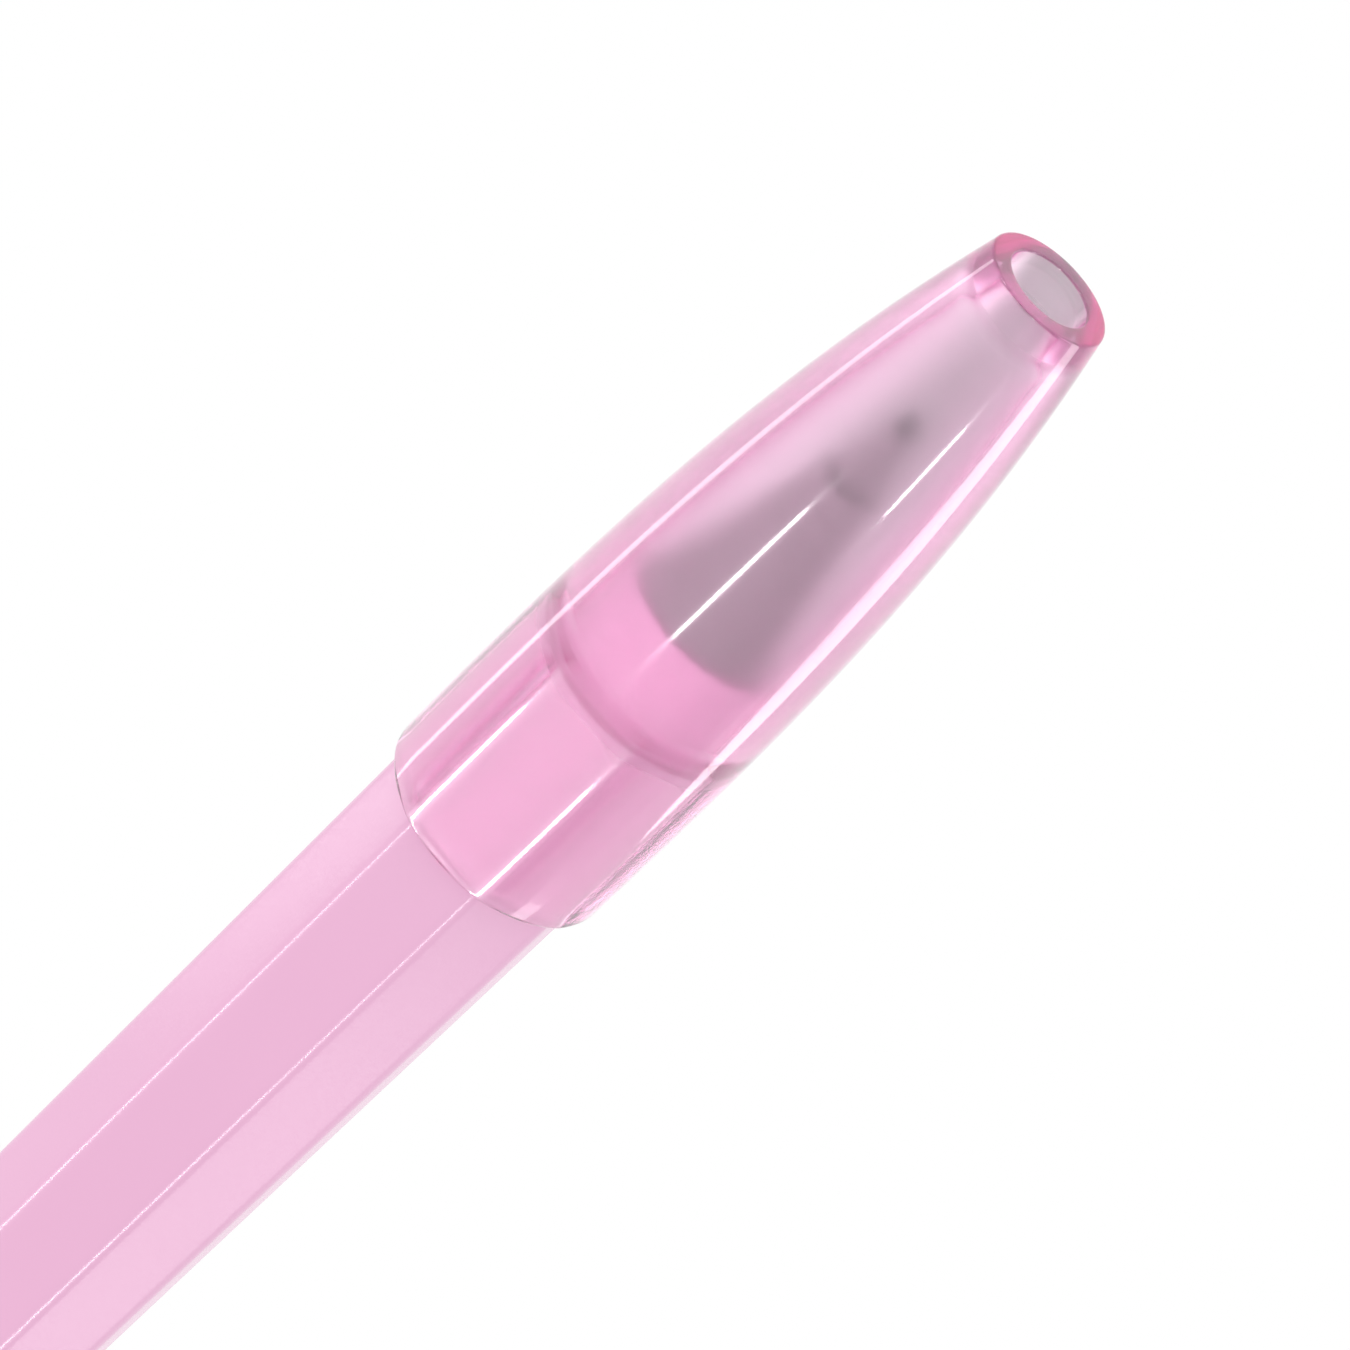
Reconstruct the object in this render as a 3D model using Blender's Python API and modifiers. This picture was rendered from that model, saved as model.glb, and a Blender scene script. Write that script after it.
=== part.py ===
"""Gel pen: an eight-sided barrel, a clipless round cap, and a gel refill held by a screwed tip cone.

Metres, +Z up. The capped pen lies along X with its cap at +X, and the cap's skirt touches Z = 0.
Each piece is built upright, with stations measured along its own +Z, and is then laid along +X.
Stations count from the middle of the capped pen.
"""

import math

import bmesh
import bpy
from mathutils import Matrix

MM = 0.001
EIGHTH = math.pi / 8

# Driving dimensions
PEN_LENGTH = 148.0 * MM
ACROSS_FLATS = 8.5 * MM
CORNER_RADIUS = 0.9 * MM
CAP_LENGTH = 31.4 * MM
CAP_MOUTH_RADIUS = 4.95 * MM
CAP_END_RADIUS = 2.50 * MM
CAP_CURVE_POWER = 2.84
CAP_WALL = 1.1 * MM
CAP_VENT_RADIUS = 1.68 * MM
CAP_EDGE = 0.08 * MM
SOCKET_DEPTH = 9.4 * MM
SOCKET_CLEARANCE = 0.08 * MM
BARREL_BORE_RADIUS = 2.7 * MM
THREAD_BORE_RADIUS = 2.65 * MM
SEAT_GAP = 0.05 * MM
REFILL_TUBE_RADIUS = 2.5 * MM
REFILL_TUBE_WALL = 0.4 * MM
BALL_RADIUS = 0.25 * MM
ROUND_STEPS = 48

# Stations along the pen
TAIL = -PEN_LENGTH / 2
CAP_END = PEN_LENGTH / 2
CAP_MOUTH = CAP_END - CAP_LENGTH
SOCKET_FLOOR = CAP_MOUTH + SOCKET_DEPTH
BARREL_TAIL = TAIL + 2.0 * MM
SHOULDER = SOCKET_FLOOR - 0.5 * MM
NECK_END = SHOULDER + 4.05 * MM
CONE_FRONT = NECK_END + 8.0 * MM
THREAD_REAR = NECK_END - 3.8 * MM
BALL_CENTRE = CONE_FRONT + 3.4 * MM
TUBE_REAR = BARREL_TAIL + 8.0 * MM
TUBE_FRONT = THREAD_REAR - 0.75 * MM
INK_REAR = -30.0 * MM
AXIS_HEIGHT = CAP_MOUTH_RADIUS


def clear_scene():
    for obj in list(bpy.data.objects):
        bpy.data.objects.remove(obj, do_unlink=True)


def new_collection(name):
    collection = bpy.data.collections.new(name)
    bpy.context.scene.collection.children.link(collection)
    return collection


def make_material(name, colour, roughness, metallic=0.0, alpha=1.0):
    material = bpy.data.materials.new(name)
    material.use_nodes = True
    material.diffuse_color = (*colour, alpha)
    shader = material.node_tree.nodes["Principled BSDF"]
    shader.inputs["Base Color"].default_value = (*colour, 1.0)
    shader.inputs["Roughness"].default_value = roughness
    shader.inputs["Metallic"].default_value = metallic
    shader.inputs["Alpha"].default_value = alpha
    return material


def add_object(name, data, station, collection, material=None):
    """Lays a piece along +X with its origin on the pen's axis at a station."""
    obj = bpy.data.objects.new(name, data)
    obj.location = (station, 0.0, AXIS_HEIGHT)
    obj.rotation_euler = (0.0, math.pi / 2, 0.0)
    collection.objects.link(obj)
    if material is None:
        obj.hide_render = True
        obj.display_type = "WIRE"
    else:
        data.materials.append(material)
    return obj


def turned(name, profile, station, collection, material=None, closed=False, steps=ROUND_STEPS):
    """Turns (station, radius) points, listed down the outer side, and up the bore if closed."""
    points = [(radius, 0.0, along - station) for along, radius in profile]
    edges = [(i, i + 1) for i in range(len(points) - 1)]
    if closed:
        edges.append((len(points) - 1, 0))
    mesh = bpy.data.meshes.new(name)
    mesh.from_pydata(points, edges, [])
    obj = add_object(name, mesh, station, collection, material)
    screw = obj.modifiers.new("turn", "SCREW")
    screw.axis = "Z"
    screw.angle = math.tau
    screw.steps = steps
    screw.render_steps = steps
    screw.use_merge_vertices = True
    screw.merge_threshold = 1e-6
    screw.use_smooth_shade = True
    return obj


def octagon_prism(name, across_flats, corner_radius, low, high, station, collection, material=None):
    """An eight-sided bar with rounded long edges and flats facing up, down and sideways."""
    bm = bmesh.new()
    radius = across_flats / 2 / math.cos(EIGHTH)
    bmesh.ops.create_cone(
        bm, cap_ends=True, segments=8, radius1=radius, radius2=radius, depth=high - low
    )
    bmesh.ops.rotate(bm, verts=bm.verts, cent=(0, 0, 0), matrix=Matrix.Rotation(EIGHTH, 3, "Z"))
    bmesh.ops.translate(bm, verts=bm.verts, vec=(0, 0, (low + high) / 2 - station))
    long_edges = [
        e for e in bm.edges if abs(e.verts[0].co.z - e.verts[1].co.z) > (high - low) / 2
    ]
    bmesh.ops.bevel(
        bm,
        geom=long_edges,
        offset=corner_radius * math.tan(EIGHTH),
        offset_type="OFFSET",
        segments=4,
        profile=0.5,
        affect="EDGES",
    )
    mesh = bpy.data.meshes.new(name)
    bm.to_mesh(mesh)
    bm.free()
    mesh.shade_smooth()
    mesh.set_sharp_from_angle(angle=math.radians(25))
    return add_object(name, mesh, station, collection, material)


def boolean(obj, operation, tool):
    modifier = obj.modifiers.new(tool.name, "BOOLEAN")
    modifier.operation = operation
    modifier.solver = "EXACT"
    modifier.object = tool


def arc(centre, radius, start_deg, end_deg, count):
    """Points on an arc in the (station, radius) plane; 0 degrees points towards +X."""
    along, out = centre
    points = []
    for i in range(count + 1):
        angle = math.radians(start_deg + (end_deg - start_deg) * i / count)
        points.append((along + radius * math.cos(angle), out + radius * math.sin(angle)))
    return points


def cap_radius(along):
    """The cap's bullet-shaped outside: nearly straight at the skirt, and closing in to its end."""
    reach = (along - CAP_MOUTH) / CAP_LENGTH
    drop = CAP_MOUTH_RADIUS - CAP_END_RADIUS
    return CAP_MOUTH_RADIUS - drop * max(reach, 0.0) ** CAP_CURVE_POWER


def make_cap(pieces, cutters, material):
    """Round outside, eight-sided socket for the barrel, a tapering cavity, and an open vent."""
    stations = [CAP_END - CAP_EDGE - (CAP_LENGTH - 2 * CAP_EDGE) * i / 24 for i in range(25)]
    outside = [(CAP_END, 0.0), (CAP_END, CAP_END_RADIUS - CAP_EDGE)]
    outside += [(along, cap_radius(along)) for along in stations]
    outside += [(CAP_MOUTH, CAP_MOUTH_RADIUS - CAP_EDGE), (CAP_MOUTH, 0.0)]
    cap = turned("cap", outside, CAP_MOUTH, pieces, material, steps=64)

    lead_in = turned(
        "cap_lead_in",
        [
            (CAP_MOUTH + 0.9 * MM, 0.0),
            (CAP_MOUTH + 0.9 * MM, ACROSS_FLATS / 2 - 0.3 * MM),
            (CAP_MOUTH - 0.5 * MM, ACROSS_FLATS / 2 + 0.4 * MM),
            (CAP_MOUTH - 0.5 * MM, 0.0),
        ],
        CAP_MOUTH,
        cutters,
        steps=40,
    )
    boolean(cap, "DIFFERENCE", lead_in)

    socket = octagon_prism(
        "cap_socket",
        ACROSS_FLATS + 2 * SOCKET_CLEARANCE,
        CORNER_RADIUS + SOCKET_CLEARANCE,
        CAP_MOUTH - 1 * MM,
        SOCKET_FLOOR,
        CAP_MOUTH,
        cutters,
    )
    boolean(cap, "DIFFERENCE", socket)

    cavity_front = CAP_END - 2.8 * MM
    cavity_rear = SOCKET_FLOOR + 4.0 * MM
    taper = [cavity_front - (cavity_front - cavity_rear) * i / 10 for i in range(11)]
    cavity = [(CAP_END + 1 * MM, 0.0), (CAP_END + 1 * MM, CAP_VENT_RADIUS)]
    cavity += [(cavity_front, CAP_VENT_RADIUS)]
    cavity += [(along, cap_radius(along) - CAP_WALL) for along in taper]
    cavity += [(SOCKET_FLOOR - 0.2 * MM, cap_radius(cavity_rear) - CAP_WALL)]
    cavity += [(SOCKET_FLOOR - 0.2 * MM, 0.0)]
    boolean(cap, "DIFFERENCE", turned("cap_cavity", cavity, CAP_MOUTH, cutters))
    return cap


def make_barrel(pieces, cutters, material):
    """One moulding: an eight-sided tube whose front end steps down to a round, tapered neck."""
    corner = ACROSS_FLATS / 2 / math.cos(EIGHTH)
    barrel = octagon_prism(
        "barrel", ACROSS_FLATS, CORNER_RADIUS, BARREL_TAIL, NECK_END, 0.0, pieces, material
    )
    clear = corner + 0.5 * MM
    shoulder_radius = ACROSS_FLATS / 2 - 0.1 * MM
    lead_slope = 2.0
    envelope = [
        (NECK_END + 1 * MM, 0.0),
        (NECK_END + 1 * MM, 2.9 * MM),
        (NECK_END - 0.1 * MM, 3.1 * MM),
        (SHOULDER + 0.6 * MM, 3.3 * MM),
        (SHOULDER, 3.3 * MM),
        (SHOULDER, shoulder_radius),
        (SHOULDER - lead_slope * (clear - shoulder_radius), clear),
        (BARREL_TAIL - 1 * MM, clear),
        (BARREL_TAIL - 1 * MM, 0.0),
    ]
    boolean(barrel, "INTERSECT", turned("barrel_envelope", envelope, 0.0, cutters, steps=64))
    bore = [
        (NECK_END + 1 * MM, 0.0),
        (NECK_END + 1 * MM, THREAD_BORE_RADIUS),
        (THREAD_REAR - 0.1 * MM, THREAD_BORE_RADIUS),
        (THREAD_REAR - 0.2 * MM, BARREL_BORE_RADIUS),
        (BARREL_TAIL - 1 * MM, BARREL_BORE_RADIUS),
        (BARREL_TAIL - 1 * MM, 0.0),
    ]
    boolean(barrel, "DIFFERENCE", turned("barrel_bore", bore, 0.0, cutters))
    return barrel


def make_tail_plug(pieces, cutters, material):
    """Closes the barrel's tail: an eight-sided head, a thin-walled spigot, and a small air hole."""
    head_front = BARREL_TAIL - SEAT_GAP
    spigot_front = BARREL_TAIL + 5.0 * MM
    corner = ACROSS_FLATS / 2 / math.cos(EIGHTH)
    rounding = 1.0 * MM
    plug = octagon_prism(
        "tail_plug", ACROSS_FLATS, CORNER_RADIUS, TAIL, spigot_front, TAIL, pieces, material
    )
    spigot = BARREL_BORE_RADIUS - SEAT_GAP
    envelope = [
        (spigot_front + 1 * MM, 0.0),
        (spigot_front + 1 * MM, spigot - 0.6 * MM),
        (spigot_front - 0.6 * MM, spigot),
        (head_front, spigot),
        (head_front, corner),
    ]
    envelope += arc((TAIL + rounding, corner - rounding), rounding, 90, 180, 6)
    envelope += [(TAIL, 0.0)]
    boolean(plug, "INTERSECT", turned("plug_envelope", envelope, TAIL, cutters, steps=64))
    hollow = [
        (spigot_front + 1 * MM, 0.0),
        (spigot_front + 1 * MM, 1.9 * MM),
        (BARREL_TAIL - 0.6 * MM, 1.9 * MM),
        (BARREL_TAIL - 0.8 * MM, 0.5 * MM),
        (TAIL - 1 * MM, 0.5 * MM),
        (TAIL - 1 * MM, 0.0),
    ]
    boolean(plug, "DIFFERENCE", turned("plug_hollow", hollow, TAIL, cutters, steps=32))
    return plug


def make_tip_cone(pieces, material):
    """A metal cone with a threaded spigot behind it, shown at its thread's outer diameter."""
    base = NECK_END + SEAT_GAP
    spigot = THREAD_BORE_RADIUS - SEAT_GAP
    outside = [
        (CONE_FRONT, 1.22 * MM),
        (CONE_FRONT - 0.1 * MM, 1.32 * MM),
        (base + 0.5 * MM, 2.86 * MM),
        (base + 0.35 * MM, 2.95 * MM),
        (base, 2.95 * MM),
        (base, spigot - 0.25 * MM),
        (base - 0.4 * MM, spigot - 0.25 * MM),
        (base - 0.6 * MM, spigot),
        (THREAD_REAR + 0.3 * MM, spigot),
        (THREAD_REAR, spigot - 0.25 * MM),
    ]
    inside = [
        (THREAD_REAR, 1.95 * MM),
        (CONE_FRONT - 4.2 * MM, 1.95 * MM),
        (CONE_FRONT - 1.2 * MM, 1.30 * MM),
        (CONE_FRONT - 0.9 * MM, 1.07 * MM),
        (CONE_FRONT, 1.07 * MM),
    ]
    return turned("tip_cone", outside + inside, CONE_FRONT, pieces, material, closed=True)


def make_refill(pieces, materials):
    """The ink tube, its moulded tip holder, the turned point, the ball and the spring behind it."""
    tube_inner = REFILL_TUBE_RADIUS - REFILL_TUBE_WALL
    tube = [
        (TUBE_FRONT, REFILL_TUBE_RADIUS),
        (TUBE_REAR, REFILL_TUBE_RADIUS),
        (TUBE_REAR, tube_inner),
        (TUBE_FRONT, tube_inner),
    ]
    turned("refill_tube", tube, 0.0, pieces, materials["tube"], closed=True)

    flange_front = THREAD_REAR - SEAT_GAP
    flange_rear = TUBE_FRONT + SEAT_GAP
    holder_front = CONE_FRONT - 1.4 * MM
    holder_rear = flange_rear - 3.9 * MM
    point_rear = CONE_FRONT - 5.2 * MM
    holder = [
        (holder_front, 1.16 * MM),
        (holder_front - 3.0 * MM, 1.76 * MM),
        (flange_front, 1.8 * MM),
        (flange_front, REFILL_TUBE_RADIUS),
        (flange_rear, REFILL_TUBE_RADIUS),
        (flange_rear, tube_inner - SEAT_GAP),
        (holder_rear + 0.4 * MM, tube_inner - SEAT_GAP),
        (holder_rear, 1.8 * MM),
        (holder_rear, 0.8 * MM),
        (point_rear - 0.1 * MM, 0.8 * MM),
        (point_rear - 0.1 * MM, 1.04 * MM),
        (holder_front, 1.04 * MM),
    ]
    turned("tip_holder", holder, 0.0, pieces, materials["holder"], closed=True)

    rim = BALL_CENTRE + 0.10 * MM
    shank_front = rim - 2.6 * MM
    point = [
        (rim, 0.29 * MM),
        (rim - 0.05 * MM, 0.32 * MM),
        (shank_front, 1.0 * MM),
        (point_rear, 1.0 * MM),
        (point_rear, 0.38 * MM),
        (point_rear + 0.25 * MM, 0.38 * MM),
        (point_rear + 0.35 * MM, 0.6 * MM),
        (rim - 2.2 * MM, 0.6 * MM),
        (rim - 1.6 * MM, 0.17 * MM),
        (BALL_CENTRE - 0.32 * MM, 0.17 * MM),
        (BALL_CENTRE - 0.16 * MM, 0.27 * MM),
        (BALL_CENTRE + 0.03 * MM, 0.27 * MM),
        (rim, 0.245 * MM),
    ]
    turned("point_shell", point, 0.0, pieces, materials["steel"], closed=True)

    ball_profile = arc((BALL_CENTRE, 0.0), BALL_RADIUS, 0, 180, 10)
    ball_profile = [(along, max(radius, 0.0)) for along, radius in ball_profile]
    turned("ball", ball_profile, BALL_CENTRE, pieces, materials["ball"], steps=20)

    make_ball_spring(pieces, materials["steel"], point_rear + 0.45 * MM, rim - 2.3 * MM)


def make_ball_spring(pieces, material, rear, front):
    """A fine coil in the point's bore, whose straight front end presses on the ball's back."""
    wire, coil, turns, per_turn = 0.05 * MM, 0.45 * MM, 8, 10
    points = []
    for i in range(turns * per_turn + 1):
        share = i / (turns * per_turn)
        angle = math.tau * turns * share
        points.append((coil * math.cos(angle), coil * math.sin(angle), rear + (front - rear) * share))
    needle_end = BALL_CENTRE - BALL_RADIUS - 0.03 * MM
    points += [(0.2 * MM, 0.0, front + 0.35 * MM), (0.0, 0.0, front + 0.7 * MM), (0.0, 0.0, needle_end)]
    curve = bpy.data.curves.new("ball_spring", "CURVE")
    curve.dimensions = "3D"
    curve.bevel_depth = wire
    curve.bevel_resolution = 1
    curve.use_fill_caps = True
    spline = curve.splines.new("POLY")
    spline.points.add(len(points) - 1)
    for point, (x, y, z) in zip(spline.points, points):
        point.co = (x, y, z, 1.0)
    add_object("ball_spring", curve, 0.0, pieces, material)


def make_ink_column(pieces, materials):
    """The gel ink, the grease plug that follows it down the tube, and the float in the grease."""
    radius = REFILL_TUBE_RADIUS - REFILL_TUBE_WALL - SEAT_GAP
    ink_front = TUBE_FRONT - 4.1 * MM
    ink = [(ink_front, 0.0), (ink_front, radius), (INK_REAR, radius), (INK_REAR, 0.0)]
    turned("gel_ink", ink, ink_front, pieces, materials["ink"], steps=32)

    grease_front = INK_REAR - SEAT_GAP
    grease_rear = grease_front - 8.0 * MM
    float_radius = 1.6 * MM
    pocket = grease_front - 2.0 * MM
    grease = [
        (grease_front, 0.0),
        (grease_front, radius),
        (grease_rear, radius),
        (grease_rear, float_radius + SEAT_GAP),
        (pocket, float_radius + SEAT_GAP),
        (pocket, 0.0),
    ]
    turned("follower_grease", grease, grease_front, pieces, materials["grease"], steps=32)

    float_front = pocket - SEAT_GAP
    float_rear = float_front - 9.0 * MM
    nose = arc((float_front - float_radius, 0.0), float_radius, 0, 90, 6)
    tail = arc((float_rear + 0.3 * MM, float_radius - 0.3 * MM), 0.3 * MM, 90, 180, 3)
    body = nose + tail + [(float_rear, 0.0)]
    turned("follower_float", body, float_front, pieces, materials["float"], steps=32)


def main():
    clear_scene()
    pieces = new_collection("gel_pen")
    cutters = new_collection("cutters")
    cap_pink = make_material("cap_pink", (0.93, 0.55, 0.76), 0.08, alpha=0.45)
    barrel_pink = make_material("barrel_pink", (0.84, 0.47, 0.68), 0.38)
    cone_metal = make_material("cone_metal", (0.52, 0.50, 0.52), 0.32, metallic=1.0)
    materials = {
        "steel": make_material("point_steel", (0.66, 0.65, 0.63), 0.22, metallic=1.0),
        "ball": make_material("ball_carbide", (0.22, 0.22, 0.24), 0.12, metallic=1.0),
        "tube": make_material("tube_clear", (0.88, 0.88, 0.88), 0.25, alpha=0.5),
        "holder": make_material("holder_clear", (0.86, 0.86, 0.88), 0.2, alpha=0.6),
        "ink": make_material("ink_pink", (0.78, 0.10, 0.34), 0.3),
        "grease": make_material("follower_grease", (0.86, 0.78, 0.52), 0.2, alpha=0.7),
        "float": make_material("float_white", (0.82, 0.82, 0.80), 0.4),
    }
    make_barrel(pieces, cutters, barrel_pink)
    make_tail_plug(pieces, cutters, barrel_pink)
    make_tip_cone(pieces, cone_metal)
    make_refill(pieces, materials)
    make_ink_column(pieces, materials)
    make_cap(pieces, cutters, cap_pink)


main()
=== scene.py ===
"""Gel pen, seen from above its cap: a pink eight-sided barrel under a clear pink bullet-shaped cap.

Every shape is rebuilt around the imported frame's boxes, in metres. A piece is a loft about the pen's
axis: at each angle round the axis a profile of (station, radius) corners, with its edges rounded.
"""

import math

import bmesh
import bpy
from mathutils import Matrix, Vector


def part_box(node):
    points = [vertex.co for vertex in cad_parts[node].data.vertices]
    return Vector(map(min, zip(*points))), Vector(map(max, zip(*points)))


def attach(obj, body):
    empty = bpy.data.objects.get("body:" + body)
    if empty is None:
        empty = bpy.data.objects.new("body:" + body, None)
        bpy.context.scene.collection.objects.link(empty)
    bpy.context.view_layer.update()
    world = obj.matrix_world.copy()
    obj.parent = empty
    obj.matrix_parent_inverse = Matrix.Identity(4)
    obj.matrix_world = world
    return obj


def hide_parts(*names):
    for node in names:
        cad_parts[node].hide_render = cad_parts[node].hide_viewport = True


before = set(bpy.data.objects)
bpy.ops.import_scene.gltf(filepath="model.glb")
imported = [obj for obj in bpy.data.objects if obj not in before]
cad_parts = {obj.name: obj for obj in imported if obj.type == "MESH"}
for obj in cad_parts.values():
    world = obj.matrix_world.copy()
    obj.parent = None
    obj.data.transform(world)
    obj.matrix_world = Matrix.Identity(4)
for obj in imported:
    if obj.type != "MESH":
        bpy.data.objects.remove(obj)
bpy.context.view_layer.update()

MM = 0.001
EIGHTH = math.pi / 8

# The photograph's view of the pen
PEN_TILT = math.radians(31.9)  # the cap's end leans this far out of the picture, towards the camera
PEN_LEAN = math.radians(5.5)  # the camera stands this far off the upper flat, about the pen's axis
PEN_RISE = math.radians(43.9)  # the pen climbs to the right at this angle across the picture
CAMERA_DISTANCE = 175.1 * MM
CAMERA_LENS = 129.0  # millimetres
SENSOR_WIDTH = 36.0  # millimetres
AIM_PAST_MOUTH = 9.93 * MM  # the view's middle is this far in front of the cap's mouth
AIM_ASIDE = 0.62 * MM  # and this far to the pen's right-hand side

# The white tent round the pen
TENT_BRIGHT_SIDE = (-0.3, 0.5, 0.8)
TENT_DARKEST = 0.6
TENT_BRIGHTEST = 1.08
TENT_THROUGH_CAP = 1.6  # how much brighter the tent is for light that has come through clear plastic

# The white floor, whose brightness through clear plastic goes from a painted shadow under the pen's
# axis to painted light beside the pen, and back to plain white further out
FLOOR_HALF_WIDTH = 1.5
FLOOR_DROP = 0.2 * MM
FLOOR_GLOW = 1.0
FLOOR_PAINTED_SHADOW_GLOW = 0.5
FLOOR_PAINTED_LIGHT_GLOW = 2.0
FLOOR_BRIGHTENS = (1.5 * MM, 5.0 * MM)  # between these distances from the axis
FLOOR_FADES = (12.0 * MM, 30.0 * MM)

# Clear plastic
PLASTIC_IOR = 1.5
CAP_DENSITY = 220.0
CAP_ABSORPTION = (0.95, 0.51, 0.80)
CAP_COAT_TINT = (0.995, 0.972, 0.988)
CAP_COAT_ROUGHNESS = 0.05
CAP_FROST_ROUGHNESS = 0.5
# Painted rim shade: a deeper, darker pink put on the cap's edges at grazing angles
CAP_PAINTED_RIM_SHADE = (0.78, 0.28, 0.54)
CAP_PAINTED_RIM_SHADE_FRESNEL = (0.06, 0.30)  # the painted rim shade comes in between these two Fresnel values

# Shapes that the frame's boxes don't say
SHARP_EDGE = math.radians(28)
CORNER_RADIUS = 0.9 * MM
SOCKET_CLEARANCE = 0.08 * MM
SOCKET_DEPTH = 9.4 * MM
CAP_END_RADIUS = 2.5 * MM
CAP_CURVE_POWER = 2.84
CAP_WALL = 1.1 * MM
CAP_VENT_RADIUS = 1.68 * MM
SEAT_GAP = 0.05 * MM
TUBE_RADIUS = 2.5 * MM
TUBE_BORE = 2.1 * MM
CONE_SPIGOT_RADIUS = 2.6 * MM
THREAD_PITCH = 1.0 * MM


def box_of(node):
    low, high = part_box(node)
    return Vector(low), Vector(high)


CAP_LOW, CAP_HIGH = box_of("cap")
BARREL_LOW, BARREL_HIGH = box_of("barrel")
CAP_MOUTH, CAP_END = CAP_LOW.x, CAP_HIGH.x
CAP_MOUTH_RADIUS = (CAP_HIGH.z - CAP_LOW.z) / 2
AXIS = Vector((0.0, 0.0, (CAP_HIGH.z + CAP_LOW.z) / 2))
ACROSS_FLATS = BARREL_HIGH.z - BARREL_LOW.z
SOCKET_FLOOR = CAP_MOUTH + SOCKET_DEPTH
SHOULDER = SOCKET_FLOOR - 0.5 * MM
NECK_END = BARREL_HIGH.x
VIEW_MIDDLE = AXIS + Vector((CAP_MOUTH + AIM_PAST_MOUTH, 0, 0))


# ---------------------------------------------------------------- meshes


def octagon_radius(angle, across_flats, corner_radius):
    """Distance from the axis to a rounded octagon with flats facing along the axes."""
    apothem = across_flats / 2
    turn = abs((angle + EIGHTH) % (2 * EIGHTH) - EIGHTH)
    half_flat = (apothem - corner_radius) * math.tan(EIGHTH)
    if turn <= math.atan2(half_flat, apothem):
        return apothem / math.cos(turn)
    centre = (apothem - corner_radius) / math.cos(EIGHTH)
    off = EIGHTH - turn
    return centre * math.cos(off) + math.sqrt(corner_radius**2 - (centre * math.sin(off)) ** 2)


def barrel_side(angle):
    return octagon_radius(angle, ACROSS_FLATS, CORNER_RADIUS)


def octagon_angles(flat_steps=12, corner_steps=8):
    """Angles round the axis, closer together on the rounded corners."""
    apothem = ACROSS_FLATS / 2
    flat_end = math.atan2((apothem - CORNER_RADIUS) * math.tan(EIGHTH), apothem)
    angles = []
    for side in range(8):
        middle = side * 2 * EIGHTH
        angles += [middle - flat_end + 2 * flat_end * i / flat_steps for i in range(flat_steps)]
        corner = 2 * (EIGHTH - flat_end)
        angles += [middle + flat_end + corner * i / corner_steps for i in range(corner_steps)]
    return angles


def rounded(corners, closed, steps=5):
    """Turns (station, radius, setback) corners into a line whose corners are small curves.

    A fourth value on a corner, 1 for frosted, is carried along to its points as their Z.
    """
    line = []
    count = len(corners)
    for i, (along, out, setback, *frost) in enumerate(corners):
        finish = frost[0] if frost else 0.0
        here = Vector((along, out, finish))
        if setback == 0 or (not closed and i in (0, count - 1)):
            line.append(here)
            continue
        before = Vector((*corners[i - 1][:2], finish)) - here
        after = Vector((*corners[(i + 1) % count][:2], finish)) - here
        first = here + before.normalized() * min(setback, before.length * 0.45)
        last = here + after.normalized() * min(setback, after.length * 0.45)
        for step in range(steps + 1):
            share = step / steps
            bend = first * (1 - share) ** 2 + here * 2 * share * (1 - share) + last * share**2
            line.append(bend)
    return line


def add_piece(name, data, material, body, node, slot):
    """Puts a mesh or curve in the scene, on a CAD body and in place of a CAD node."""
    data.materials.append(material)
    piece = bpy.data.objects.new(name, data)
    bpy.context.scene.collection.objects.link(piece)
    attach(piece, body)
    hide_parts(node)


def loft(name, profile_at, angles, closed=True, **place):
    """Builds a piece from a profile at each angle round the pen's axis.

    A closed profile comes back to its first corner. An open one starts and ends on the axis.
    """
    bm = bmesh.new()
    frosting = bm.verts.layers.float.new("frosting")
    columns = []
    for angle in angles:
        direction = Vector((0.0, math.sin(angle), math.cos(angle)))
        column = []
        for point in rounded(profile_at(angle), closed):
            at = AXIS + Vector((point.x, 0, 0)) + direction * max(point.y, 0.0)
            column.append(bm.verts.new(at))
            column[-1][frosting] = point.z
        columns.append(column)
    length = len(columns[0])
    spans = length if closed else length - 1
    for i, column in enumerate(columns):
        beside = columns[(i + 1) % len(columns)]
        for j in range(spans):
            k = (j + 1) % length
            bm.faces.new((column[j], column[k], beside[k], beside[j]))
    bmesh.ops.remove_doubles(bm, verts=bm.verts, dist=1e-7)
    bmesh.ops.recalc_face_normals(bm, faces=bm.faces)
    mesh = bpy.data.meshes.new(name)
    bm.to_mesh(mesh)
    bm.free()
    mesh.shade_smooth()
    mesh.set_sharp_from_angle(angle=SHARP_EDGE)
    add_piece(name, mesh, **place)


def turned(name, corners, sides, closed=True, **place):
    """Builds a round piece, whose profile is the same at every angle."""
    angles = [math.tau * i / sides for i in range(sides)]
    loft(name, lambda angle: corners, angles, closed, **place)


# ------------------------------------------------------------- materials


def new_material(name):
    material = bpy.data.materials.new(name)
    material.use_nodes = True
    tree = material.node_tree
    return material, tree, tree.nodes["Principled BSDF"]


def noise(tree, scale, detail=2.0, stretch=(1.0, 1.0, 1.0)):
    """Noise in the piece's own space, in cycles per metre."""
    place = tree.nodes.new("ShaderNodeTexCoord")
    mapping = tree.nodes.new("ShaderNodeMapping")
    mapping.inputs["Scale"].default_value = stretch
    texture = tree.nodes.new("ShaderNodeTexNoise")
    texture.inputs["Scale"].default_value = scale
    texture.inputs["Detail"].default_value = detail
    tree.links.new(place.outputs["Object"], mapping.inputs["Vector"])
    tree.links.new(mapping.outputs["Vector"], texture.inputs["Vector"])
    return texture.outputs["Fac"]


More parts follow.
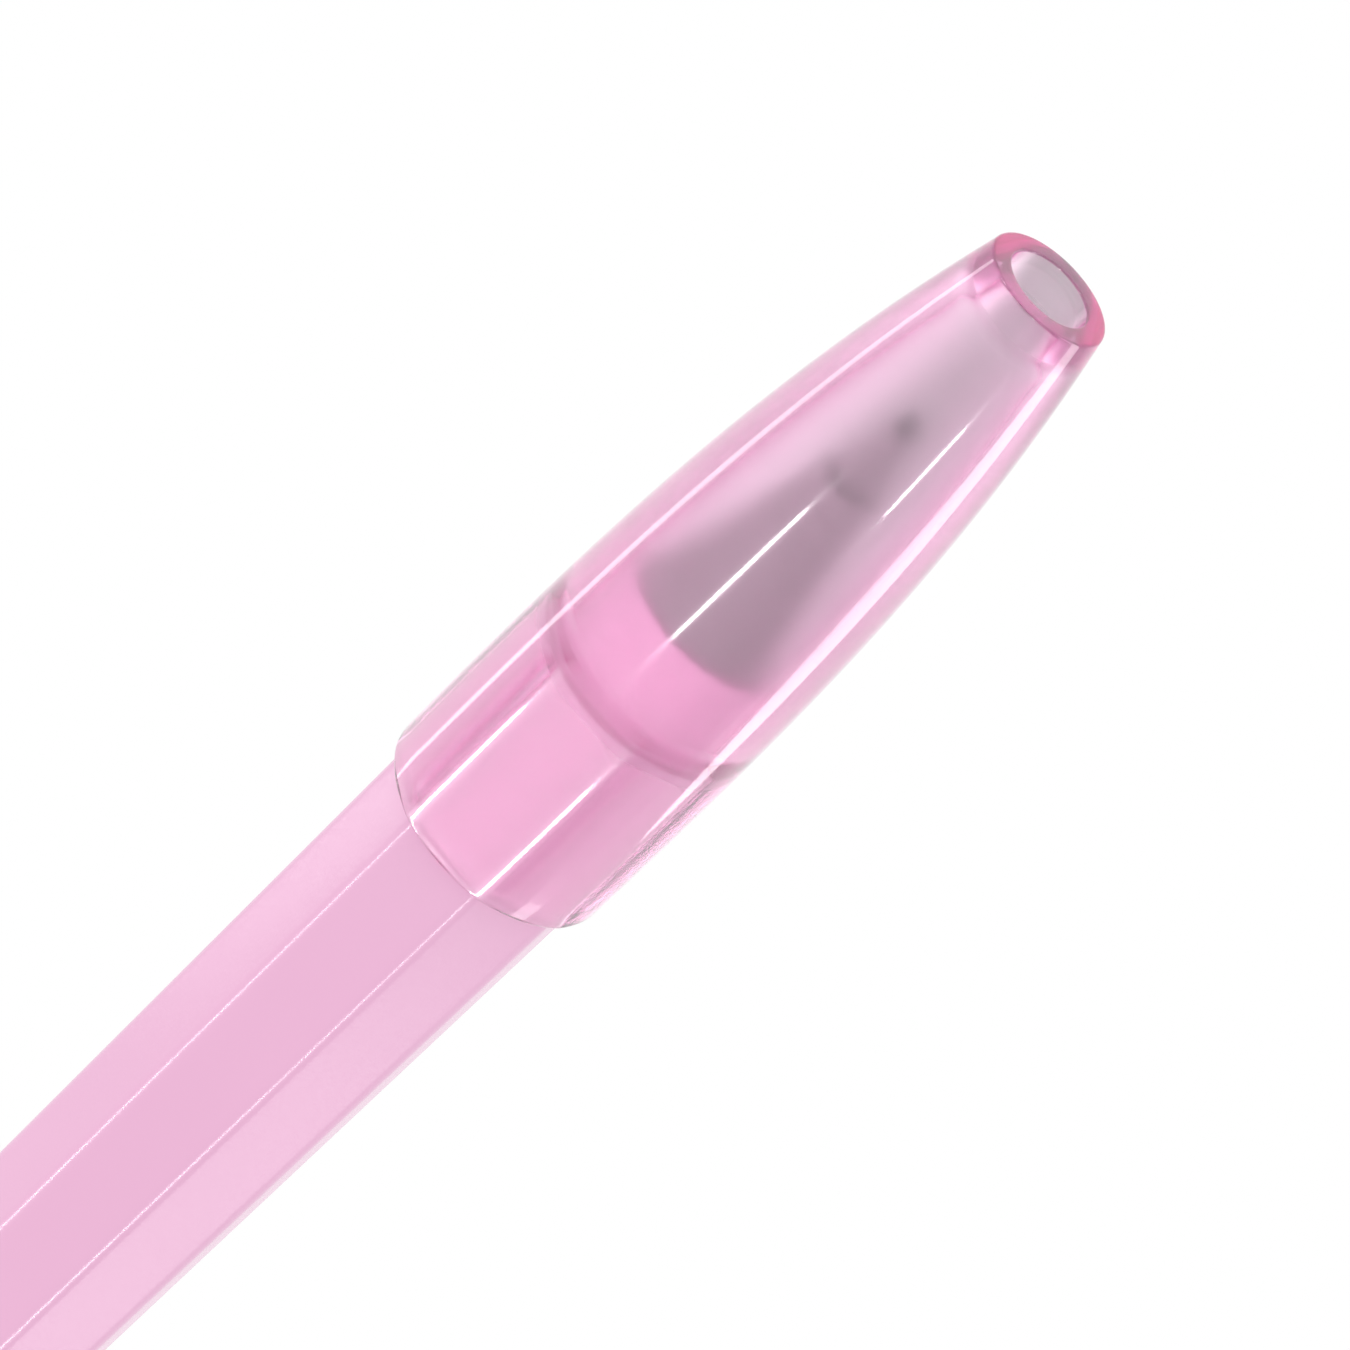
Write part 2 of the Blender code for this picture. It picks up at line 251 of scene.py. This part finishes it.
def ramp(tree, factor, low, high, start=0.35, end=0.65):
    """A colour ramp between two colours, or between two greys for a number."""
    node = tree.nodes.new("ShaderNodeValToRGB")
    colours = [c if isinstance(c, tuple) else (c, c, c) for c in (low, high)]
    for element, position, colour in zip(node.color_ramp.elements, (start, end), colours):
        element.position = position
        element.color = (*colour, 1.0)
    tree.links.new(factor, node.inputs["Fac"])
    return node.outputs["Color"]


def map_range(tree, value, source, target, smooth=False):
    """Maps a value from one range to another, whose upper end may be another node's output."""
    node = tree.nodes.new("ShaderNodeMapRange")
    if smooth:
        node.interpolation_type = "SMOOTHSTEP"
    node.inputs["From Min"].default_value = source[0]
    node.inputs["From Max"].default_value = source[1]
    node.inputs["To Min"].default_value = target[0]
    if isinstance(target[1], float):
        node.inputs["To Max"].default_value = target[1]
    else:
        tree.links.new(target[1], node.inputs["To Max"])
    tree.links.new(value, node.inputs["Value"])
    return node.outputs["Result"]


def mix_into(tree, socket, factor, other):
    """Mixes a colour, or another node's output, into what the socket reads."""
    mix = tree.nodes.new("ShaderNodeMixRGB")
    tree.links.new(factor, mix.inputs["Fac"])
    tree.links.new(socket.links[0].from_socket, mix.inputs["Color1"])
    if isinstance(other, tuple):
        mix.inputs["Color2"].default_value = (*other, 1.0)
    else:
        tree.links.new(other, mix.inputs["Color2"])
    tree.links.new(mix.outputs["Color"], socket)


def bump(tree, shader, height, distance):
    node = tree.nodes.new("ShaderNodeBump")
    node.inputs["Distance"].default_value = distance
    tree.links.new(height, node.inputs["Height"])
    tree.links.new(node.outputs["Normal"], shader.inputs["Normal"])


def moulded_plastic(name, colour, roughness):
    """Opaque moulded plastic with a faint flow mottle and a fine satin grain."""
    material, tree, shader = new_material(name)
    dark = tuple(c * 0.98 for c in colour)
    mottle = noise(tree, 180.0, 3.0, (0.35, 1.0, 1.0))
    tree.links.new(ramp(tree, mottle, dark, colour), shader.inputs["Base Color"])
    grain = noise(tree, 5200.0)
    gloss = ramp(tree, grain, roughness - 0.03, roughness + 0.04)
    tree.links.new(gloss, shader.inputs["Roughness"])
    bump(tree, shader, grain, 0.004 * MM)
    return material


def clear_plastic(name, colour, roughness):
    """Clear plastic, which bends light, with a faint mottle in its tint and its gloss."""
    material, tree, shader = new_material(name)
    pale = tuple(min(1.0, c * 1.02) for c in colour)
    mottle = noise(tree, 260.0, 2.0, (0.4, 1.0, 1.0))
    tree.links.new(ramp(tree, mottle, colour, pale), shader.inputs["Base Color"])
    gloss = ramp(tree, mottle, roughness * 0.85, roughness * 1.15)
    tree.links.new(gloss, shader.inputs["Roughness"])
    shader.inputs["Transmission Weight"].default_value = 1.0
    shader.inputs["IOR"].default_value = PLASTIC_IOR
    return material


def cap_pink():
    """Clear pink plastic with a polished skin, whose colour deepens with thickness.

    Where the mesh's frosting is 1 it is frosted. At grazing angles its tint goes over to a painted
    rim shade, a deeper, darker pink that stands in for the colour light takes on as it runs along the
    wall.
    """
    material = clear_plastic("cap_pink", (1.0, 0.99, 0.995), 0.14)
    tree = material.node_tree
    shader = tree.nodes["Principled BSDF"]
    # Painted rim shade, mixed into the tint by a Fresnel factor at the cap's edges
    fresnel = tree.nodes.new("ShaderNodeFresnel")
    fresnel.inputs["IOR"].default_value = PLASTIC_IOR
    painted_rim_shade_mask = map_range(tree, fresnel.outputs["Fac"], CAP_PAINTED_RIM_SHADE_FRESNEL, (0.0, 1.0))
    mix_into(tree, shader.inputs["Base Color"], painted_rim_shade_mask, CAP_PAINTED_RIM_SHADE)
    shader.inputs["Coat Weight"].default_value = 1.0
    shader.inputs["Coat Roughness"].default_value = CAP_COAT_ROUGHNESS
    shader.inputs["Coat Tint"].default_value = (*CAP_COAT_TINT, 1.0)
    frosting = tree.nodes.new("ShaderNodeAttribute")
    frosting.attribute_name = "frosting"
    mottle = noise(tree, 260.0, 2.0, (0.4, 1.0, 1.0))
    frost = ramp(tree, mottle, CAP_FROST_ROUGHNESS * 0.95, CAP_FROST_ROUGHNESS * 1.05)
    mix_into(tree, shader.inputs["Roughness"], frosting.outputs["Fac"], frost)
    volume = tree.nodes.new("ShaderNodeVolumeAbsorption")
    volume.inputs["Color"].default_value = (*CAP_ABSORPTION, 1.0)
    volume.inputs["Density"].default_value = CAP_DENSITY
    output = tree.nodes["Material Output"]
    tree.links.new(volume.outputs["Volume"], output.inputs["Volume"])
    return material


def turned_metal(name, colour, roughness):
    """Lathe-turned metal: fine rings round the axis and a slight change of tone."""
    material, tree, shader = new_material(name)
    dark = tuple(c * 0.93 for c in colour)
    tone = noise(tree, 400.0, 2.0, (3.0, 1.0, 1.0))
    tree.links.new(ramp(tree, tone, dark, colour), shader.inputs["Base Color"])
    shader.inputs["Metallic"].default_value = 1.0
    rings = noise(tree, 9000.0, 1.0, (1.0, 0.01, 0.01))
    gloss = ramp(tree, rings, roughness - 0.05, roughness + 0.07)
    tree.links.new(gloss, shader.inputs["Roughness"])
    bump(tree, shader, rings, 0.0015 * MM)
    return material


def point_steel():
    """Turned steel that ink has darkened round the ball."""
    material = turned_metal("point_steel", (0.24, 0.195, 0.22), 0.4)
    tree = material.node_tree
    place = tree.nodes.new("ShaderNodeTexCoord")
    split = tree.nodes.new("ShaderNodeSeparateXYZ")
    tree.links.new(place.outputs["Object"], split.inputs["Vector"])
    inky_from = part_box("ball")[0][0] - 0.5 * MM
    stain = map_range(tree, split.outputs["X"], (inky_from, inky_from + 0.3 * MM), (0.0, 1.0))
    base_colour = tree.nodes["Principled BSDF"].inputs["Base Color"]
    mix_into(tree, base_colour, stain, (0.02, 0.015, 0.02))
    return material


# ---------------------------------------------------------------- pieces


def cap_radius(along):
    reach = max((along - CAP_MOUTH) / (CAP_END - CAP_MOUTH), 0.0)
    return CAP_MOUTH_RADIUS - (CAP_MOUTH_RADIUS - CAP_END_RADIUS) * reach**CAP_CURVE_POWER


def make_cap(plastic):
    """Round bullet outside, eight-sided socket, frosted round cavity, and an open vent."""
    across_socket = ACROSS_FLATS + 2 * SOCKET_CLEARANCE
    socket_corner = CORNER_RADIUS + SOCKET_CLEARANCE
    cavity_rear = SOCKET_FLOOR + 4.0 * MM
    cavity_front = CAP_END - 2.3 * MM
    bore = cap_radius(cavity_rear) - CAP_WALL
    outside_steps, cavity_steps = 26, 12

    outside = [(CAP_END, CAP_END_RADIUS, 0.12 * MM)]
    for i in range(1, outside_steps):
        along = CAP_END + (CAP_MOUTH - CAP_END) * i / outside_steps
        outside.append((along, cap_radius(along), 0.0))
    outside.append((CAP_MOUTH, CAP_MOUTH_RADIUS, 0.22 * MM))

    inside = [(SOCKET_FLOOR + 0.5 * MM, bore, 0.35 * MM, 1.0)]
    for i in range(cavity_steps + 1):
        along = cavity_rear + (cavity_front - cavity_rear) * i / cavity_steps
        setback = 0.5 * MM if i == cavity_steps else 0.0
        inside.append((along, cap_radius(along) - CAP_WALL, setback, 1.0))
    inside.append((cavity_front + 0.4 * MM, CAP_VENT_RADIUS, 0.4 * MM, 1.0))
    inside.append((cavity_front + 0.9 * MM, CAP_VENT_RADIUS, 0.0))
    inside.append((CAP_END, CAP_VENT_RADIUS, 0.1 * MM))

    def profile(angle):
        side = octagon_radius(angle, across_socket, socket_corner)
        socket = [
            (CAP_MOUTH, side + 0.12 * MM, 0.05 * MM),
            (CAP_MOUTH + 0.5 * MM, side, 0.3 * MM),
            (SOCKET_FLOOR - 0.8 * MM, side, 0.0),
            (SOCKET_FLOOR - 0.7 * MM, side, 0.0, 1.0),
            (SOCKET_FLOOR - 0.1 * MM, side, 0.3 * MM, 1.0),
        ]
        return outside + socket + inside

    loft(
        "cap_shell",
        profile,
        octagon_angles(),
        material=plastic,
        body="cap",
        node="cap",
        slot="cap_plastic",
    )


def make_barrel(plastic):
    """Eight-sided tube with rounded edges, a lead-in taper, and a round neck for the tip cone."""
    bore, thread_bore = 2.7 * MM, 2.65 * MM
    shoulder_radius = ACROSS_FLATS / 2 - 0.1 * MM
    lead_slope = 2.0
    tail = BARREL_LOW.x

    def profile(angle):
        side = barrel_side(angle)
        lead = SHOULDER - lead_slope * (side - shoulder_radius)
        return [
            (NECK_END, 3.1 * MM, 0.15 * MM),
            (SHOULDER + 0.4 * MM, 3.3 * MM, 0.1 * MM),
            (SHOULDER, 3.4 * MM, 0.15 * MM),
            (SHOULDER, shoulder_radius, 0.08 * MM),
            (lead, side, 0.12 * MM),
            (tail, side, 0.1 * MM),
            (tail, bore, 0.05 * MM),
            (NECK_END - 4.0 * MM, bore, 0.0),
            (NECK_END - 3.9 * MM, thread_bore, 0.0),
            (NECK_END, thread_bore, 0.1 * MM),
        ]

    loft(
        "barrel_tube",
        profile,
        octagon_angles(),
        material=plastic,
        body="barrel",
        node="barrel",
        slot="barrel_plastic",
    )


def make_tail_plug(plastic):
    """A stopper with the barrel's section, a hollow spigot and a small vent."""
    low, high = box_of("tail_plug")
    head = BARREL_LOW.x - SEAT_GAP
    spigot, hollow, vent = 2.65 * MM, 1.9 * MM, 0.5 * MM

    def profile(angle):
        side = barrel_side(angle)
        return [
            (high.x, hollow, 0.05 * MM),
            (high.x, spigot - 0.4 * MM, 0.1 * MM),
            (high.x - 1.0 * MM, spigot, 0.3 * MM),
            (head, spigot, 0.0),
            (head, side, 0.08 * MM),
            (low.x, side, 0.9 * MM),
            (low.x, vent, 0.1 * MM),
            (BARREL_LOW.x - 0.8 * MM, vent, 0.05 * MM),
            (BARREL_LOW.x - 0.6 * MM, hollow, 0.2 * MM),
        ]

    loft(
        "tail_stopper",
        profile,
        octagon_angles(),
        material=plastic,
        body="barrel",
        node="tail_plug",
        slot="barrel_plastic",
    )


def make_tip_cone(metal):
    """The cone, its spigot with thread crests, and the hollow that the tip holder fills."""
    low, high = box_of("tip_cone")
    base = NECK_END + SEAT_GAP
    flange, hollow, point_bore = 2.95 * MM, 1.95 * MM, 1.07 * MM
    root = CONE_SPIGOT_RADIUS - 0.28 * MM
    relief = CONE_SPIGOT_RADIUS - 0.25 * MM
    corners = [
        (high.x, 1.32 * MM, 0.1 * MM),
        (base + 0.5 * MM, 2.86 * MM, 0.1 * MM),
        (base + 0.35 * MM, flange, 0.08 * MM),
        (base, flange, 0.08 * MM),
        (base, relief, 0.05 * MM),
    ]
    crests = 4
    crest_half_width = 0.12 * MM
    thread_front = base - 0.3 * MM
    for i in range(crests):
        crest = thread_front - (i + 0.5) * (thread_front - low.x) / crests
        corners.append((crest + crest_half_width, CONE_SPIGOT_RADIUS, 0.05 * MM))
        corners.append((crest - crest_half_width, CONE_SPIGOT_RADIUS, 0.05 * MM))
        if i < crests - 1:
            corners.append((crest - THREAD_PITCH / 2 + 0.05 * MM, root, 0.05 * MM))
    corners += [
        (low.x, relief, 0.05 * MM),
        (low.x, hollow, 0.05 * MM),
        (high.x - 4.2 * MM, hollow, 0.3 * MM),
        (high.x - 1.2 * MM, 1.3 * MM, 0.1 * MM),
        (high.x - 0.9 * MM, point_bore, 0.05 * MM),
        (high.x, point_bore, 0.05 * MM),
    ]
    turned(
        "nose_cone",
        corners,
        96,
        material=metal,
        body="tip_cone",
        node="tip_cone",
        slot="cone_metal",
    )


def make_point(steel):
    """The turned writing point, hollow for the spring and open at the front for the ball."""
    low, high = box_of("point_shell")
    ball_low, ball_high = box_of("ball")
    ball_centre = (ball_high.x + ball_low.x) / 2
    shank, spring_bore, ink_bore = 1.0 * MM, 0.6 * MM, 0.17 * MM
    inlet, ball_seat = 0.38 * MM, 0.27 * MM
    corners = [
        (high.x, 0.245 * MM, 0.01 * MM),
        (high.x, 0.29 * MM, 0.02 * MM),
        (high.x - 0.5 * MM, 0.44 * MM, 0.1 * MM),
        (high.x - 2.6 * MM, shank, 0.15 * MM),
        (low.x, shank, 0.1 * MM),
        (low.x, inlet, 0.05 * MM),
        (low.x + 0.25 * MM, inlet, 0.05 * MM),
        (low.x + 0.35 * MM, spring_bore, 0.05 * MM),
        (high.x - 2.2 * MM, spring_bore, 0.05 * MM),
        (high.x - 1.6 * MM, ink_bore, 0.05 * MM),
        (ball_centre - 0.32 * MM, ink_bore, 0.01 * MM),
        (ball_centre - 0.16 * MM, ball_seat, 0.01 * MM),
        (ball_centre + 0.03 * MM, ball_seat, 0.01 * MM),
    ]
    turned(
        "writing_point",
        corners,
        64,
        material=steel,
        body="refill",
        node="point_shell",
        slot="point_steel",
    )


def make_ball(carbide):
    low, high = box_of("ball")
    centre, radius = (high.x + low.x) / 2, (high.z - low.z) / 2
    steps = 24
    half_turn = []
    for i in range(steps + 1):
        angle = math.pi * i / steps
        half_turn.append((centre + radius * math.cos(angle), radius * math.sin(angle), 0.0))
    turned(
        "writing_ball",
        half_turn,
        48,
        closed=False,
        material=carbide,
        body="ball",
        node="ball",
        slot="ball_carbide",
    )


def make_ink_tube(plastic):
    low, high = box_of("refill_tube")
    corners = [
        (high.x, TUBE_RADIUS, 0.1 * MM),
        (low.x, TUBE_RADIUS, 0.1 * MM),
        (low.x, TUBE_BORE, 0.1 * MM),
        (high.x, TUBE_BORE, 0.1 * MM),
    ]
    turned(
        "ink_tube",
        corners,
        96,
        material=plastic,
        body="refill",
        node="refill_tube",
        slot="tube_plastic",
    )


def make_tip_holder(plastic):
    """The adapter between the tube and the point: a plug, a flange, a nose and the point's socket."""
    low, high = box_of("tip_holder")
    flange_rear = box_of("refill_tube")[1].x + SEAT_GAP
    flange_front = flange_rear + 0.65 * MM
    socket_floor = box_of("point_shell")[0].x - 0.1 * MM
    plug, ink_bore, socket = TUBE_BORE - SEAT_GAP, 0.8 * MM, 1.04 * MM
    corners = [
        (high.x, 1.16 * MM, 0.05 * MM),
        (high.x - 3.0 * MM, 1.76 * MM, 0.3 * MM),
        (flange_front, 1.8 * MM, 0.1 * MM),
        (flange_front, TUBE_RADIUS, 0.06 * MM),
        (flange_rear, TUBE_RADIUS, 0.06 * MM),
        (flange_rear, plug, 0.05 * MM),
        (low.x + 0.4 * MM, plug, 0.15 * MM),
        (low.x, 1.8 * MM, 0.1 * MM),
        (low.x, ink_bore, 0.1 * MM),
        (socket_floor, ink_bore, 0.02 * MM),
        (socket_floor, socket, 0.02 * MM),
        (high.x, socket, 0.02 * MM),
    ]
    turned(
        "point_holder",
        corners,
        72,
        material=plastic,
        body="refill",
        node="tip_holder",
        slot="holder_plastic",
    )


def make_ball_spring(steel):
    """A coil that ends in a straight pin, which pushes on the ball."""
    low, high = box_of("ball_spring")
    wire, coil_radius, turns, steps_per_turn = 0.05 * MM, 0.45 * MM, 8, 24
    coil_rear = low.x + wire
    coil_front = box_of("point_shell")[1].x - 2.3 * MM
    points = []
    for i in range(turns * steps_per_turn + 1):
        share = i / (turns * steps_per_turn)
        angle = math.tau * turns * share
        along = coil_rear + (coil_front - coil_rear) * share
        points.append((along, coil_radius * math.sin(angle), -coil_radius * math.cos(angle)))
    points.append((coil_front + 0.35 * MM, 0, -0.2 * MM))
    points.append((coil_front + 0.7 * MM, 0, 0))
    points.append((high.x, 0, 0))

    curve = bpy.data.curves.new("ball_spring_wire", "CURVE")
    curve.dimensions = "3D"
    curve.bevel_depth = wire
    curve.bevel_resolution = 3
    curve.use_fill_caps = True
    spline = curve.splines.new("POLY")
    spline.points.add(len(points) - 1)
    for spline_point, point in zip(spline.points, points):
        spline_point.co = (*(AXIS + Vector(point)), 1.0)
    add_piece("ball_spring_wire", curve, steel, "refill", "ball_spring", "point_steel")


def make_ink(ink_plastic):
    """The ink column, with a hollow rear end where the grease meets it."""
    low, high = box_of("gel_ink")
    radius = (high.z - low.z) / 2
    corners = [
        (high.x, 0.0, 0.0),
        (high.x, radius, 0.2 * MM),
        (low.x, radius, 0.2 * MM),
        (low.x + 0.5 * MM, 0.8 * radius, 0.3 * MM),
        (low.x + 0.7 * MM, 0.0, 0.0),
    ]
    turned(
        "ink_column",
        corners,
        72,
        closed=False,
        material=ink_plastic,
        body="refill",
        node="gel_ink",
        slot="ink",
    )


def make_grease(grease_plastic):
    """The grease plug, with a pocket in its rear end for the float."""
    low, high = box_of("follower_grease")
    radius = (high.z - low.z) / 2
    pocket_radius, pocket_front = 1.65 * MM, high.x - 2.0 * MM
    corners = [
        (high.x, 0.0, 0.0),
        (high.x, radius, 0.2 * MM),
        (low.x, radius, 0.3 * MM),
        (low.x, pocket_radius, 0.1 * MM),
        (pocket_front, pocket_radius, 0.8 * MM),
        (pocket_front, 0.0, 0.0),
    ]
    turned(
        "grease_plug",
        corners,
        72,
        closed=False,
        material=grease_plastic,
        body="follower",
        node="follower_grease",
        slot="grease",
    )


def make_float(float_plastic):
    """A bar with a round nose."""
    low, high = box_of("follower_float")
    radius = (high.z - low.z) / 2
    nose_steps = 10
    corners = []
    for i in range(nose_steps + 1):
        angle = math.pi / 2 * i / nose_steps
        corners.append((high.x - radius * (1 - math.cos(angle)), radius * math.sin(angle), 0.0))
    corners.append((low.x, radius, 0.3 * MM))
    corners.append((low.x, 0.0, 0.0))
    turned(
        "float_body",
        corners,
        72,
        closed=False,
        material=float_plastic,
        body="follower",
        node="follower_float",
        slot="float_plastic",
    )


# ----------------------------------------------------- camera and studio


def make_camera():
    turn = (
        Matrix.Rotation(PEN_LEAN, 4, "X")
        @ Matrix.Rotation(PEN_TILT, 4, "Y")
        @ Matrix.Rotation(-PEN_RISE, 4, "Z")
    )
    right_side = Matrix.Rotation(PEN_LEAN, 3, "X") @ Vector((0, -1, 0))
    aim = VIEW_MIDDLE + right_side * AIM_ASIDE
    back = Matrix.Translation((0, 0, CAMERA_DISTANCE))
    data = bpy.data.cameras.new("camera")
    data.lens = CAMERA_LENS
    data.sensor_width = SENSOR_WIDTH
    data.clip_start = 5 * MM
    data.clip_end = 20.0
    camera = bpy.data.objects.new("camera", data)
    bpy.context.scene.collection.objects.link(camera)
    camera.matrix_world = Matrix.Translation(aim) @ turn @ back
    bpy.context.scene.camera = camera


def make_tent():
    """A white world, brighter towards one side."""
    world = bpy.data.worlds.new("studio")
    world.use_nodes = True
    bpy.context.scene.world = world
    tree = world.node_tree
    background = tree.nodes["Background"]
    background.inputs["Color"].default_value = (1.0, 1.0, 1.0, 1.0)
    place = tree.nodes.new("ShaderNodeTexCoord")
    towards = tree.nodes.new("ShaderNodeVectorMath")
    towards.operation = "DOT_PRODUCT"
    towards.inputs[1].default_value = TENT_BRIGHT_SIDE
    tree.links.new(place.outputs["Generated"], towards.inputs[0])
    brightness = (TENT_DARKEST, TENT_BRIGHTEST)
    shade = map_range(tree, towards.outputs["Value"], (-1.0, 1.0), brightness)
    path = tree.nodes.new("ShaderNodeLightPath")
    through_plastic = path.outputs["Is Transmission Ray"]
    lift = map_range(tree, through_plastic, (0.0, 1.0), (1.0, TENT_THROUGH_CAP))
    lifted = tree.nodes.new("ShaderNodeMath")
    lifted.operation = "MULTIPLY"
    tree.links.new(shade, lifted.inputs[0])
    tree.links.new(lift, lifted.inputs[1])
    tree.links.new(lifted.outputs["Value"], background.inputs["Strength"])


def floor_white():
    """Glowing white, which takes no cast shadow; light through clear plastic sees a painted shadow
    under the pen and painted light beside it.
    """
    material, tree, shader = new_material("floor_white")
    shader.inputs["Base Color"].default_value = (0.0, 0.0, 0.0, 1.0)
    shader.inputs["Specular IOR Level"].default_value = 0.0
    shader.inputs["Emission Color"].default_value = (1.0, 1.0, 1.0, 1.0)
    place = tree.nodes.new("ShaderNodeTexCoord")
    split = tree.nodes.new("ShaderNodeSeparateXYZ")
    tree.links.new(place.outputs["Object"], split.inputs["Vector"])
    absolute = tree.nodes.new("ShaderNodeMath")
    absolute.operation = "ABSOLUTE"
    tree.links.new(split.outputs["Y"], absolute.inputs[0])
    aside = absolute.outputs["Value"]
    # Painted light beside the pen, fading to plain white further out
    painted_light_beside = map_range(tree, aside, FLOOR_FADES, (FLOOR_PAINTED_LIGHT_GLOW, FLOOR_GLOW), smooth=True)
    # Painted shadow under the pen's axis, for light that has come through clear plastic
    through_plastic = map_range(tree, aside, FLOOR_BRIGHTENS, (FLOOR_PAINTED_SHADOW_GLOW, painted_light_beside), smooth=True)
    path = tree.nodes.new("ShaderNodeLightPath")
    is_through = path.outputs["Is Transmission Ray"]
    glow = map_range(tree, is_through, (0.0, 1.0), (FLOOR_GLOW, through_plastic))
    tree.links.new(glow, shader.inputs["Emission Strength"])
    return material


def make_floor():
    bm = bmesh.new()
    bmesh.ops.create_grid(bm, x_segments=1, y_segments=1, size=FLOOR_HALF_WIDTH)
    mesh = bpy.data.meshes.new("floor")
    bm.to_mesh(mesh)
    bm.free()
    mesh.materials.append(floor_white())
    floor = bpy.data.objects.new("floor", mesh)
    floor.location.z = -FLOOR_DROP
    bpy.context.scene.collection.objects.link(floor)


def glossy_lamp(name, length, width, power):
    """A rectangular lamp, its length along the pen, that lights only by its reflections."""
    data = bpy.data.lights.new(name, "AREA")
    data.shape = "RECTANGLE"
    data.size = length
    data.size_y = width
    data.energy = power
    lamp = bpy.data.objects.new(name, data)
    bpy.context.scene.collection.objects.link(lamp)
    lamp.visible_diffuse = False
    lamp.visible_transmission = False
    return lamp


def strip_light(name, across_deg, along_deg, distance, length, width, power):
    """A lamp facing the middle of the view.

    Its angles are from straight above: to the pen's right, and then towards the cap's end.
    """
    lamp = glossy_lamp(name, length, width, power)
    across = Matrix.Rotation(math.radians(across_deg), 4, "X")
    along = Matrix.Rotation(math.radians(along_deg), 4, "Y")
    back = Matrix.Translation((0, 0, distance))
    lamp.matrix_world = Matrix.Translation(VIEW_MIDDLE) @ across @ along @ back


def floor_card(name, near, far, rear, front, glow):
    """A glowing card that lies face up on the floor, seen only in reflections.

    Its near and far edges are to the pen's left, or to its right where they are negative.
    """
    length, width = front - rear, abs(far - near)
    lamp = glossy_lamp(name, length, width, glow * math.pi * length * width)
    lamp.visible_camera = False
    lamp.location = ((front + rear) / 2, (near + far) / 2, 0.0)
    lamp.rotation_euler.x = math.pi


def make_lamps():
    strip_light("upper_strip", -50.5, -47.7, 0.34, 0.19, 0.010, 0.20)
    strip_light("lower_strip", 39.5, -47.7, 0.34, 0.19, 0.010, 0.20)
    strip_light("key_lamp", -3.7, -20.0, 0.30, 0.05, 0.014, 0.065)
    strip_light("edge_lamp", 53.0, -10.0, 0.30, 0.035, 0.012, 0.035)
    strip_light("rear_upper_strip", 24.0, 43.0, 0.34, 0.19, 0.012, 0.20)
    strip_light("rear_lower_strip", -66.0, 43.0, 0.34, 0.19, 0.012, 0.20)
    strip_light("side_lamp", 84.5, -46.0, 0.30, 0.106, 0.06, 0.04)
    floor_card("left_card", 50 * MM, 200 * MM, -15 * MM, 90 * MM, 3.0)
    floor_card("right_card", -18 * MM, -60 * MM, 38 * MM, 110 * MM, 3.0)


def make_studio():
    scene = bpy.context.scene
    scene.view_settings.view_transform = "Standard"
    scene.cycles.max_bounces = 40
    scene.cycles.transmission_bounces = 40
    scene.cycles.glossy_bounces = 12
    make_tent()
    make_floor()
    make_lamps()


def main():
    make_camera()
    make_studio()
    barrel_pink = moulded_plastic("barrel_pink", (0.88, 0.475, 0.70), 0.20)
    make_cap(cap_pink())
    make_barrel(barrel_pink)
    make_tail_plug(barrel_pink)
    make_tip_cone(turned_metal("cone_metal", (0.29, 0.235, 0.265), 0.42))
    make_point(point_steel())
    make_ball(turned_metal("ball_carbide", (0.05, 0.045, 0.05), 0.14))
    make_ink_tube(clear_plastic("tube_clear", (0.95, 0.95, 0.95), 0.15))
    make_tip_holder(clear_plastic("holder_clear", (0.92, 0.92, 0.94), 0.12))
    make_ball_spring(turned_metal("spring_steel", (0.42, 0.41, 0.42), 0.3))
    make_ink(moulded_plastic("gel_ink", (0.78, 0.10, 0.34), 0.25))
    make_grease(clear_plastic("follower_grease", (0.92, 0.86, 0.62), 0.1))
    make_float(moulded_plastic("float_white", (0.82, 0.82, 0.80), 0.4))


main()
